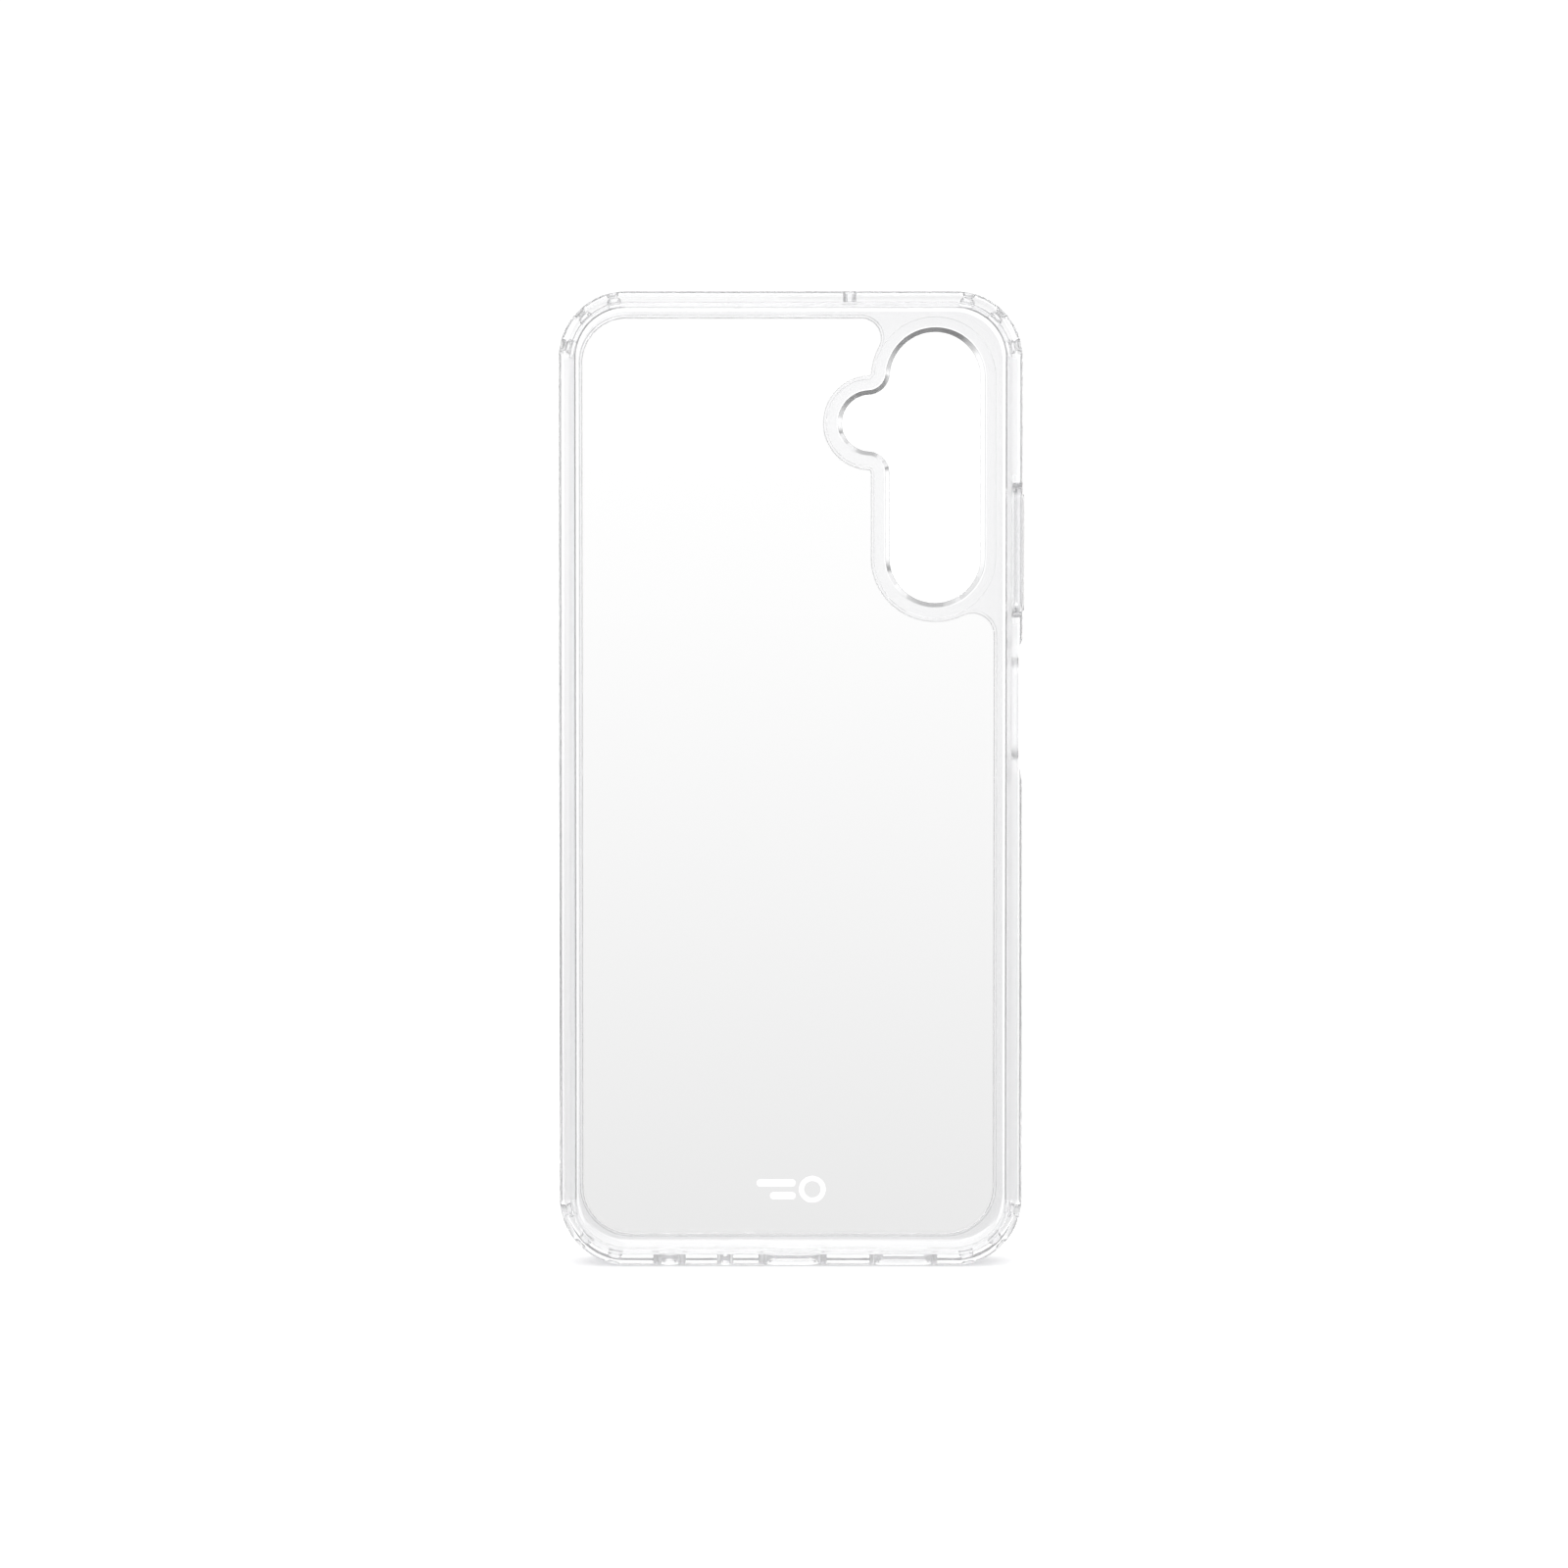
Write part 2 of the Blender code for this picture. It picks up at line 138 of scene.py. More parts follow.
# The tones of the studio as the clear plastic gathers them.
FIELD_TONE = 1.06
HORIZON_TONE = 0.985
# Painted shade: the floor's glow, as the plastic gathers it, is this much dimmer right by the case.
NEAR_TONE = 0.82
# The cosine of the angle from straight ahead, and the tone there. From 1 down: the wide field, a bright
# strip beside it, a dark gap, a soft box, and the dim room beyond.
STRIPS = (
    (0.0, 0.4), (0.44, 0.4), (0.5, 1.15), (0.72, 1.15), (0.76, 0.1),
    (0.87, 0.1), (0.9, 1.4), (0.99, 1.4), (0.9955, 1.0),
)
# The tone by the angle round the line of sight, from the right (0) over the top to the left (1).
AROUND = (
    (0.0, 1.0), (0.17, 1.0), (0.22, 0.5), (0.4, 0.5), (0.46, 1.0),
    (0.54, 1.0), (0.58, 0.5), (0.9, 0.5), (0.94, 1.0),
)
BRIGHTEST = 1.5
# Painted shade: the floor's glow is dimmed to this for rays that meet it steeply.
STEEP_TONE = 0.6
# Painted light: the floor glows this brightly in a band close beside the case.
CLOSE_TONE = 1.05
# On the floor: where the near tone gives way to the far one, how wide the painted bright ground beside the
# case is, and the Facing values of steep rays and of rays low enough to see the strips.
FIELD_HALFWAY = 0.66
CLOSE_INNER, CLOSE_OUTER = 20 * MM, 36 * MM
STEEPEST, STEEP_END = 0.28, 0.45
LOW_START, LOW_FULL = 0.76, 0.84

CORNER_STEPS = 40
ROUND_STEPS = 6
HOLE_STEPS = 20
PAST = 2 * MM


# ---------------------------------------------------------------- outlines

def arc(centre, radius, start, end, steps):
    """Points on an arc, from one angle in degrees to another, both ends included."""
    angles = [math.radians(start + (end - start) * i / steps) for i in range(steps + 1)]
    return [Vector((centre[0] + radius * math.cos(a), centre[1] + radius * math.sin(a))) for a in angles]


def angle_to(centre, point):
    """The angle in degrees, from 0 to 360, of a point seen from a centre."""
    return math.degrees(math.atan2(point[1] - centre[1], point[0] - centre[0])) % 360


def rounded_box(low, high, radius, steps):
    """A rectangle with round corners, anticlockwise from its lowest right corner."""
    left, right = low[0] + radius, high[0] - radius
    bottom, top = low[1] + radius, high[1] - radius
    corners = [((right, bottom), -90), ((right, top), 0), ((left, top), 90), ((left, bottom), 180)]
    points = []
    for centre, start in corners:
        points += arc(centre, radius, start, start + 90, steps)
    return points


def pill(length, depth, grow=0.0, steps=HOLE_STEPS):
    """A slot's outline about the origin, moved outwards by `grow`."""
    half_length, half_depth = length / 2 + grow, depth / 2 + grow
    radius = min(half_length, half_depth) * 0.9999
    return rounded_box((-half_length, -half_depth), (half_length, half_depth), radius, steps)


def body_outline(inset):
    """The case's outline, moved inwards from its outer face."""
    low = (-HALF_WIDTH + inset, inset)
    high = (HALF_WIDTH - inset, HEIGHT - inset)
    return rounded_box(low, high, CORNER_RADIUS - inset, CORNER_STEPS)


def upper_fillet_centre(capsule_radius, lobe_radius, fillet_radius):
    """The centre of the circle that touches the capsule's top arc and the lobe from outside."""
    lobe = Vector(LOBE)
    to_capsule = capsule_radius + fillet_radius
    to_lobe = lobe_radius + fillet_radius
    between = Vector((CAPSULE_X, CAPSULE_TOP_Z)) - lobe
    along = (to_lobe**2 - to_capsule**2 + between.length_squared) / (2 * between.length)
    across = math.sqrt(to_lobe**2 - along**2)
    direction = between.normalized()
    return lobe + direction * along + Vector((-direction.y, direction.x)) * across


def opening_left_side(grow):
    """The left side of the camera opening from the capsule's bottom to its top, moved out by `grow`."""
    capsule_radius = CAPSULE_RADIUS + grow
    lobe_radius = LOBE_RADIUS + grow
    fillet_radius = LOBE_FILLET - grow
    lower_x = CAPSULE_X - capsule_radius - fillet_radius
    reach = lobe_radius + fillet_radius
    lower = (lower_x, LOBE[1] - math.sqrt(reach**2 - (lower_x - LOBE[0]) ** 2))
    upper = upper_fillet_centre(capsule_radius, lobe_radius, fillet_radius)
    top = (CAPSULE_X, CAPSULE_TOP_Z)
    points = arc(lower, fillet_radius, 0, angle_to(lower, LOBE), HOLE_STEPS)
    points += arc(LOBE, lobe_radius, angle_to(LOBE, lower), angle_to(LOBE, upper), 2 * HOLE_STEPS)[1:-1]
    points += arc(upper, fillet_radius, angle_to(upper, LOBE) - 360, angle_to(upper, top) - 360, HOLE_STEPS)
    return points, angle_to(top, upper)


def opening_outline(grow):
    """The camera opening's outline, clockwise, moved out by `grow`."""
    radius = CAPSULE_RADIUS + grow
    left, top_angle = opening_left_side(grow)
    points = arc((CAPSULE_X, CAPSULE_BOTTOM_Z), radius, 360, 180, 2 * HOLE_STEPS)
    points += left
    points += arc((CAPSULE_X, CAPSULE_TOP_Z), radius, top_angle, 0, 2 * HOLE_STEPS)[1:]
    return points


def panel_outline(grow):
    """The back panel's outline on its inner face, moved out by `grow`. The camera surround notches it."""
    left, right = PANEL_LEFT - grow, PANEL_RIGHT + grow
    bottom, top = PANEL_BOTTOM - grow, PANEL_TOP + grow
    low_radius, high_radius = PANEL_BOTTOM_RADIUS + grow, PANEL_TOP_RADIUS + grow
    notch = SURROUND_WIDTH - grow
    side_radius = NOTCH_SIDE_RADIUS + grow
    top_radius = NOTCH_TOP_RADIUS + grow
    side_corner = (right - side_radius, NOTCH_SIDE_Z)
    top_corner = (NOTCH_TOP_X, top - top_radius)
    low_arc = (CAPSULE_X, CAPSULE_BOTTOM_Z)
    high_arc = (CAPSULE_X, CAPSULE_TOP_Z)
    notch_left, notch_top_angle = opening_left_side(notch)
    radius = CAPSULE_RADIUS + notch

    points = arc((right - low_radius, bottom + low_radius), low_radius, -90, 0, CORNER_STEPS)
    points += arc(side_corner, side_radius, 0, angle_to(side_corner, low_arc), HOLE_STEPS)
    points += arc(low_arc, radius, angle_to(low_arc, side_corner), 180, 2 * HOLE_STEPS)[1:]
    points += notch_left
    points += arc(high_arc, radius, notch_top_angle, angle_to(high_arc, top_corner), HOLE_STEPS)[1:-1]
    points += arc(top_corner, top_radius, angle_to(top_corner, high_arc) - 360, 90, HOLE_STEPS)
    points += arc((left + high_radius, top - high_radius), high_radius, 90, 180, CORNER_STEPS)
    points += arc((left + low_radius, bottom + low_radius), low_radius, 180, 270, CORNER_STEPS)
    return points


def facing_y(outline, y):
    """An outline in X and Z, placed at a depth."""
    return [Vector((p[0], y, p[1])) for p in outline]


def facing_x(outline, x, centre_z):
    """An outline in Z and Y, placed across the side wall."""
    return [Vector((x, p[1], centre_z + p[0])) for p in outline]


def facing_z(outline, z, centre_x):
    """An outline in X and Y, placed across the top or bottom wall."""
    return [Vector((centre_x + p[0], p[1], z)) for p in outline]


# ---------------------------------------------------------------- solids

def loft(name, loops):
    """A closed solid through loops of equal length, with a flat cap at each end."""
    model = bmesh.new()
    rings = [[model.verts.new(point) for point in loop] for loop in loops]
    model.faces.new(rings[0])
    model.faces.new(rings[-1])
    for lower, upper in zip(rings, rings[1:]):
        for i in range(len(lower)):
            j = (i + 1) % len(lower)
            model.faces.new((lower[i], lower[j], upper[j], upper[i]))
    bmesh.ops.recalc_face_normals(model, faces=model.faces)
    mesh = bpy.data.meshes.new(name)
    model.to_mesh(mesh)
    model.free()
    thing = bpy.data.objects.new(name, mesh)
    bpy.context.collection.objects.link(thing)
    return thing


def combined(body, tools, operation):
    """The body with each tool cut out of it or joined to it. The tools are used up."""
    for tool in tools:
        change = body.modifiers.new(tool.name, "BOOLEAN")
        change.operation = operation
        change.solver = "EXACT"
        change.object = tool
    bpy.context.view_layer.update()
    done = bpy.data.meshes.new_from_object(body.evaluated_get(bpy.context.evaluated_depsgraph_get()))
    body.modifiers.clear()
    body.data = done
    for tool in tools:
        bpy.data.objects.remove(tool)
    return body


def smoothed(thing, angle=28):
    """Rounds shaded smooth, and flats and crisp edges kept."""
    thing.data.shade_smooth()
    thing.data.set_sharp_from_angle(angle=math.radians(angle))
    weighted = thing.modifiers.new("weighted_normals", "WEIGHTED_NORMAL")
    weighted.keep_sharp = True
    weighted.weight = 100
    return thing


def flare(outline_of, low, high, radius, steps=4):
    """Loops through a hole from one face to the other, widened by a round rim at each end.

    outline_of(grow) gives the hole's outline; low and high are the wall's two faces."""
    stations = [(low - PAST, radius)]
    for i in range(steps + 1):
        a = math.radians(8 + 82 * i / steps)
        stations.append((low + radius * (1 - math.cos(a)), radius * (1 - math.sin(a))))
    ends = [(low + high - z, grow) for z, grow in reversed(stations)]
    return [(outline_of(grow), place) for place, grow in stations + ends]


def wall_section():
    """The wall's section as insets and depths: over the outside, round the lip and down to the floor."""
    lip_edge = WALL + LIP_OVERHANG
    slope_across, slope_deep = LIP_SLOPE
    corners = [(lip_edge - 2 * slope_across, RIM_Y), (lip_edge - slope_across, RIM_Y)]
    corners += [(lip_edge, RIM_Y + slope_deep), (lip_edge, LIP_UNDER_Y - LIP_UNDER_RADIUS)]
    slope = eased(corners, LIP_EASE, 3)
    inside = [
        ((lip_edge - LIP_UNDER_RADIUS, LIP_UNDER_Y - LIP_UNDER_RADIUS), LIP_UNDER_RADIUS, 0, 90),
        ((WALL + UNDERCUT_RADIUS, LIP_UNDER_Y + UNDERCUT_RADIUS), UNDERCUT_RADIUS, 270, 180),
        ((WALL + FLOOR_FILLET, FLOOR_Y - FLOOR_FILLET), FLOOR_FILLET, 180, 90),
    ]
    section = arc((BACK_EDGE_RADIUS, BACK_Y - BACK_EDGE_RADIUS), BACK_EDGE_RADIUS, 90, 180, ROUND_STEPS)
    across, deep = LIP_OUTER_ROUND
    for p in arc((1, 1), 1, 180, 270, 2 * ROUND_STEPS):
        section.append(Vector((p.x * across, RIM_Y + p.y * deep)))
    section += slope[1:-1]
    for centre, radius, start, end in inside:
        section += arc(centre, radius, start, end, ROUND_STEPS)
    return section


def camera_ridge():
    """The low ridge that stands proud of the back, round the camera opening."""
    section = arc((RIDGE_WIDTH - RIDGE_ROUND, RIDGE_Y - RIDGE_ROUND), RIDGE_ROUND, 0, 90, ROUND_STEPS)
    loops = [facing_y(opening_outline(RIDGE_WIDTH), LEDGE_Y)]
    loops += [facing_y(opening_outline(p[0]), p[1]) for p in section]
    return loft("ridge", loops)


def panel_aperture():
    """The stepped hole in the frame's back that holds the panel."""
    inner, outer = HALF_SEAM, PANEL_LEDGE + HALF_SEAM
    across, deep = SEAM_SLOPE
    steps = [(inner + across, FLOOR_Y - deep), (inner, FLOOR_Y + deep), (inner, LEDGE_Y), (outer, LEDGE_Y)]
    steps.append((outer, BACK_Y + PAST))
    return loft("panel_aperture", [facing_y(panel_outline(grow), y) for grow, y in steps])


def camera_opening():
    """The hole for the cameras, which narrows towards the back and is rounded at both rims."""
    rim = 0.25 * MM
    stations = [(rim, FLOOR_Y - PAST)]
    for i in range(5):
        a = math.radians(8 + 62 * i / 4)
        stations.append((rim * (1 - math.sin(a)), FLOOR_Y + rim * (1 - math.cos(a))))
    for i in range(5):
        a = math.radians(70 - 62 * i / 4)
        stations.append((-OPENING_TAPER + rim * (1 - math.sin(a)), RIDGE_Y - rim * (1 - math.cos(a))))
    stations.append((rim - OPENING_TAPER, RIDGE_Y + PAST))
    return loft("camera_opening", [facing_y(opening_outline(grow), y) for grow, y in stations])


def end_hole(centre_x, length, depth, top=False):
    """A hole or slot through the bottom wall, or the top one."""
    faces = (HEIGHT - WALL, HEIGHT) if top else (0, WALL)
    loops = flare(lambda grow: pill(length, depth, grow), *faces, RIM_ROUND)
    return loft("end_hole", [facing_z(outline, z, centre_x) for outline, z in loops])


def side_window(low_z, high_z, depth, radius):
    """A hole through the right wall."""
    def outline_of(grow):
        half, half_depth = (high_z - low_z) / 2 + grow, depth / 2 + grow
        return rounded_box((-half, -half_depth), (half, half_depth), (radius + grow) * 0.999, HOLE_STEPS)
    loops = flare(outline_of, HALF_WIDTH - WALL, HALF_WIDTH, RIM_ROUND)
    return loft("side_window", [facing_x(outline, x, (low_z + high_z) / 2) for outline, x in loops])


def side_scoop(face_x):
    """The shallow scoop across the right wall, steep at its top and long at its bottom."""
    low, flat_low, flat_high, high = SCOOP_Z
    profile = [(high, 0), (flat_high, SCOOP_DEPTH), (flat_low, SCOOP_DEPTH), (low, 0)]
    points = [Vector((face_x + PAST, low)), Vector((face_x + PAST, high))]
    for z, cut in eased(profile, SCOOP_ROUND):
        points.append(Vector((face_x - cut, z)))
    return loft("side_scoop", [facing_y(points, y) for y in (RIM_Y - PAST, RIDGE_Y + PAST)])


def eased(corners, reach, steps=6):
    """A polyline whose inner corners are rounded by quadratic curves that start `reach` before each."""
    corners = [Vector(c) for c in corners]
    path = [corners[0]]
    for before, corner, after in zip(corners, corners[1:], corners[2:]):
        into = corner + (before - corner).normalized() * reach
        out = corner + (after - corner).normalized() * reach
        for i in range(steps + 1):
            t = i / steps
            path.append(into * (1 - t) ** 2 + corner * 2 * t * (1 - t) + out * t**2)
    path.append(corners[-1])
    return path


def corner_pocket(centre, angle):
    """One air pocket, cut outwards from the cavity into a corner of the wall."""
    half_width = POCKET_WIDTH / 2
    outwards = Vector((math.sin(math.radians(angle)), math.cos(math.radians(angle))))
    across = Vector((outwards.y, -outwards.x))
    near, dome = CORNER_RADIUS - WALL, WALL - POCKET_INSET
    loops = []
    for turned in (-20, 0, 15, 30, 45, 60, 75, 84):
        a = math.radians(turned)
        shrink = (1 - math.cos(a)) * (half_width - POCKET_ROUND) if turned > 0 else 0
        low = (-half_width + shrink, POCKET_LOW_Y + shrink)
        high = (half_width - shrink, POCKET_HIGH_Y - shrink)
        outline = rounded_box(low, high, POCKET_ROUND, 5)
        middle = Vector(centre) + outwards * (near + dome * math.sin(a))
        loops.append([Vector((*(middle + across * p[0]), 0)).xzy + Vector((0, p[1], 0)) for p in outline])
    return loft("pocket", loops)


def corner_pockets():
    """Every corner's pockets."""
    tools = []
    for side in (-1, 1):
        for up in (-1, 1):
            middle_z = HEIGHT / 2 + up * (HEIGHT / 2 - CORNER_RADIUS)
            centre = (side * (HALF_WIDTH - CORNER_RADIUS), middle_z)
            for angle in POCKET_ANGLES:
                turned = side * angle if up > 0 else 180 - side * angle
                tools.append(corner_pocket(centre, turned))
    return tools


def soft_frame():
    """The soft moulding: a tub with its floor cut away for the panel and the cameras."""
    loops = [facing_y(body_outline(inset), y) for inset, y in wall_section()]
    body = combined(loft("soft_frame", loops), [camera_ridge()], "UNION")
    tools = [panel_aperture(), camera_opening(), side_scoop(HALF_WIDTH)]
    tools += [side_window(*KEY_WINDOW), side_window(*SENSOR_SLOT)]
    tools += [end_hole(*hole) for hole in BOTTOM_HOLES]
    tools.append(end_hole(*TOP_HOLE, top=True))
    return smoothed(combined(body, tools + corner_pockets(), "DIFFERENCE"))


def hard_panel():
    """The hard panel, with the ledge round its outer half and its rims just broken."""
    rim = 0.03 * MM
    inner, outer = -HALF_SEAM, PANEL_LEDGE - HALF_SEAM
    ledge = LEDGE_Y + 2 * HALF_SEAM
    across, deep = SEAM_SLOPE
    steps = [(inner - across, FLOOR_Y), (inner, FLOOR_Y + deep), (inner, ledge), (outer, ledge)]
    steps += [(outer, BACK_Y - rim), (outer - rim, BACK_Y)]
    return smoothed(loft("hard_panel", [facing_y(panel_outline(grow), y) for grow, y in steps]))


def key_web():
    """The thin skin that closes the key's window, with its rims just broken."""
    low_z, high_z, depth, _ = KEY_WINDOW
    half = (high_z - low_z) / 2 - 2 * HALF_SEAM
    half_depth = depth / 2 - 2 * HALF_SEAM
    middle_z = (WEB_LOW[2] + WEB_HIGH[2]) / 2
    rim = 0.12 * MM
    steps = [(rim, WEB_HIGH[0]), (0, WEB_HIGH[0] - rim), (0, WEB_LOW[0] + rim), (rim, WEB_LOW[0])]
    loops = []
    for inset, x in steps:
        low, high = (-half + inset, -half_depth + inset), (half - inset, half_depth - inset)
        loops.append(facing_x(rounded_box(low, high, (half_depth - inset) * 0.999, HOLE_STEPS), x, middle_z))
    return smoothed(loft("key_web", loops))


def key_bar():
    """The bar that is pressed, with a rounded top edge."""
    half = (KEY_HIGH[2] - KEY_LOW[2]) / 2
    half_depth = (KEY_HIGH[1] - KEY_LOW[1]) / 2
    middle_z = (KEY_HIGH[2] + KEY_LOW[2]) / 2
    edge, foot = 0.35 * MM, 0.1 * MM
    section = [(foot, KEY_LOW[0]), (0, KEY_LOW[0] + foot)]
    section += [(p[0], p[1]) for p in arc((edge, KEY_HIGH[0] - edge), edge, 180, 90, ROUND_STEPS)]
    loops = []
    for inset, x in section:
        low, high = (-half + inset, -half_depth + inset), (half - inset, half_depth - inset)
        loops.append(facing_x(rounded_box(low, high, (half_depth - inset) * 0.999, HOLE_STEPS), x, middle_z))
    return smoothed(loft("key_bar", loops))


def printed_mark():
    """A plain mark of a ring and two bars, printed on the panel's outer face near its bottom."""
    under = BACK_Y + INK_CLEARANCE
    over = under + INK
    model = bmesh.new()
    around = 64
    circles = []
    for radius, y in ((RING_OUTER, under), (RING_OUTER, over), (RING_INNER, over), (RING_INNER, under)):
        points = arc((RING_X, RING_Z), radius, 0, 360, around)[:-1]
        circles.append([model.verts.new((p[0], y, p[1])) for p in points])
    for first, second in zip(circles, circles[1:] + circles[:1]):
        for i in range(around):
            j = (i + 1) % around
            model.faces.new((first[i], first[j], second[j], second[i]))
    for centre_x, length, z in BARS:
        outline = [p + Vector((centre_x, z)) for p in pill(length, BAR_HEIGHT)]
        rings = [[model.verts.new((p[0], y, p[1])) for p in outline] for y in (under, over)]
        model.faces.new(rings[0])
        model.faces.new(rings[1])
        for i in range(len(outline)):
            j = (i + 1) % len(outline)
            model.faces.new((rings[0][i], rings[0][j], rings[1][j], rings[1][i]))
    bmesh.ops.recalc_face_normals(model, faces=model.faces)
    mesh = bpy.data.meshes.new("printed_mark")
    model.to_mesh(mesh)
    model.free()
    mark = bpy.data.objects.new("printed_mark", mesh)
    bpy.context.collection.objects.link(mark)
    return mark


# ---------------------------------------------------------------- materials

def node(tree, kind, **values):
    """A shader node with some of its inputs and settings given."""
    made = tree.nodes.new(kind)
    for name, value in values.items():
        if name in made.inputs:
            made.inputs[name].default_value = value
        else:
            setattr(made, name, value)
    return made


def maximum(tree, first, second):
    """The larger of two values."""
    made = node(tree, "ShaderNodeMath", operation="MAXIMUM")
    tree.links.new(first, made.inputs[0])
    tree.links.new(second, made.inputs[1])
    return made.outputs[0]


def ramp(tree, value, low, high, at_low, at_high, kind="SMOOTHSTEP"):
    """A value carried smoothly from one range to another."""
    made = node(tree, "ShaderNodeMapRange", interpolation_type=kind)
    for name, number in zip(("From Min", "From Max", "To Min", "To Max"), (low, high, at_low, at_high)):
        made.inputs[name].default_value = number
    tree.links.new(value, made.inputs["Value"])
    return made.outputs["Result"]


def arithmetic(tree, operation, *values):
    """One sum, difference, product and so on."""
    made = node(tree, "ShaderNodeMath", operation=operation)
    for socket, value in zip(made.inputs, values):
        if isinstance(value, (int, float)):
            socket.default_value = value
        else:
            tree.links.new(value, socket)
    return made.outputs[0]


def rail_front(tree, place, amount):
    """A satin finish on the front faces of the two long side walls, which fades out at their ends.

    Beside the key it is only on the lip, inside the wall."""
    parts = node(tree, "ShaderNodeSeparateXYZ")
    tree.links.new(place, parts.inputs[0])
    x, y, z = parts.outputs
    from_centre = arithmetic(tree, "ABSOLUTE", x)
    side = ramp(tree, from_centre, HALF_WIDTH - SATIN_INNER, HALF_WIDTH - SATIN_FULL, 0.0, amount)
    front = ramp(tree, y, RIM_Y + SATIN_SHALLOW, RIM_Y + SATIN_DEEP, 1.0, 0.0)
    from_middle = arithmetic(tree, "ABSOLUTE", arithmetic(tree, "SUBTRACT", z, HEIGHT / 2))
    straight = ramp(tree, from_middle, HEIGHT / 2 - SATIN_FADE, HEIGHT / 2 - SATIN_END, 1.0, 0.0)
    from_key = arithmetic(tree, "ABSOLUTE", arithmetic(tree, "SUBTRACT", z, KEY_MIDDLE_Z))
    past_key = ramp(tree, from_key, KEY_CLEAR, KEY_FADE, 0.0, 1.0)
    plain = maximum(tree, past_key, arithmetic(tree, "LESS_THAN", x, HALF_WIDTH - WALL))
    face = arithmetic(tree, "MULTIPLY", side, front)
    return arithmetic(tree, "MULTIPLY", face, arithmetic(tree, "MULTIPLY", straight, plain))


def clear_plastic(name, colour, index, clarity, rough, grain, bump, passed, satin=0.0):
    """A clear moulded plastic with a fine uneven skin.

    clarity is the share of light that goes straight on, and the rest makes its haze. rough is its greatest
    roughness, grain and bump are the scale and strength of its skin, passed is the tint of the light that
    it lets through onto other things, and satin is the roughness of the long walls' fronts."""
    material = bpy.data.materials.new(name)
    material.use_nodes = True
    tree = material.node_tree
    tree.nodes.clear()
    link = tree.links.new
    place = node(tree, "ShaderNodeTexCoord")
    skin = node(tree, "ShaderNodeTexNoise", Scale=grain, Detail=3.0, Roughness=0.55)
    link(place.outputs["Object"], skin.inputs["Vector"])
    wave = node(tree, "ShaderNodeTexNoise", Scale=90.0, Detail=2.0, Roughness=0.5)
    link(place.outputs["Object"], wave.inputs["Vector"])
    finish = ramp(tree, wave.outputs["Fac"], 0.35, 0.7, rough * 0.7, rough, "LINEAR")
    if satin:
        finish = maximum(tree, finish, rail_front(tree, place.outputs["Object"], satin))
    uneven = node(tree, "ShaderNodeBump", Strength=bump, Distance=0.01 * MM)
    link(skin.outputs["Fac"], uneven.inputs["Height"])
    surface = node(tree, "ShaderNodeBsdfPrincipled", IOR=index)
    surface.inputs["Base Color"].default_value = (*colour, 1)
    surface.inputs["Transmission Weight"].default_value = clarity
    link(finish, surface.inputs["Roughness"])
    link(uneven.outputs["Normal"], surface.inputs["Normal"])
    through = node(tree, "ShaderNodeBsdfTransparent")
    through.inputs["Color"].default_value = (*passed, 1)
    path = node(tree, "ShaderNodeLightPath")
    mix = node(tree, "ShaderNodeMixShader")
    link(maximum(tree, path.outputs["Is Shadow Ray"], path.outputs["Is Diffuse Ray"]), mix.inputs[0])
    link(surface.outputs[0], mix.inputs[1])
    link(through.outputs[0], mix.inputs[2])
    output = node(tree, "ShaderNodeOutputMaterial")
    link(mix.outputs[0], output.inputs["Surface"])
    return material


def white_ink_with_painted_glow():
    """A thin white print with a slightly uneven gloss, and a painted glow, as it emits a little light of its
    own.
    """
    material = bpy.data.materials.new("white_ink_with_painted_glow")
    material.use_nodes = True
    tree = material.node_tree
    surface = tree.nodes["Principled BSDF"]
    place = node(tree, "ShaderNodeTexCoord")
    speck = node(tree, "ShaderNodeTexNoise", Scale=2500.0, Detail=2.0)
    tree.links.new(place.outputs["Object"], speck.inputs["Vector"])
    gloss = ramp(tree, speck.outputs["Fac"], 0.0, 1.0, 0.42, 0.6, "LINEAR")
    tree.links.new(gloss, surface.inputs["Roughness"])
    surface.inputs["Base Color"].default_value = (0.95, 0.95, 0.95, 1)
    # Painted glow: the print emits a little white light, so it reads brighter than the panel behind it.
    surface.inputs["Emission Color"].default_value = (1, 1, 1, 1)
    surface.inputs["Emission Strength"].default_value = 0.2
    return material


# ---------------------------------------------------------------- stage

def length_of(tree, *values):
    """The length of a vector with these components."""
    total = 0.0
    for value in values:
        total = arithmetic(tree, "MULTIPLY_ADD", value, value, total)
    return arithmetic(tree, "SQRT", total)


def strips(tree, share, stops=STRIPS):
    """The tone of the studio's strips by how nearly a direction points ahead or behind."""
    tones = tree.nodes.new("ShaderNodeValToRGB")
    while len(tones.color_ramp.elements) < len(stops):
        tones.color_ramp.elements.new(0.5)
    for element, (place, tone) in zip(tones.color_ramp.elements, stops):
        element.position = place
        element.color = (*[tone / BRIGHTEST] * 3, 1)
    tree.links.new(share, tones.inputs[0])
    return arithmetic(tree, "MULTIPLY", tones.outputs["Color"], BRIGHTEST)


def even_ahead(tree, tone):
    """The tone, or 1 for rays straight through the polished panel, which sees the room evenly lit."""
    path = node(tree, "ShaderNodeLightPath")
    shallow = arithmetic(tree, "LESS_THAN", path.outputs["Transmission Depth"], 2.5)
    straight = arithmetic(tree, "MULTIPLY", path.outputs["Is Singular Ray"], shallow)
    return arithmetic(tree, "MULTIPLY_ADD", straight, arithmetic(tree, "SUBTRACT", 1.0, tone), tone)


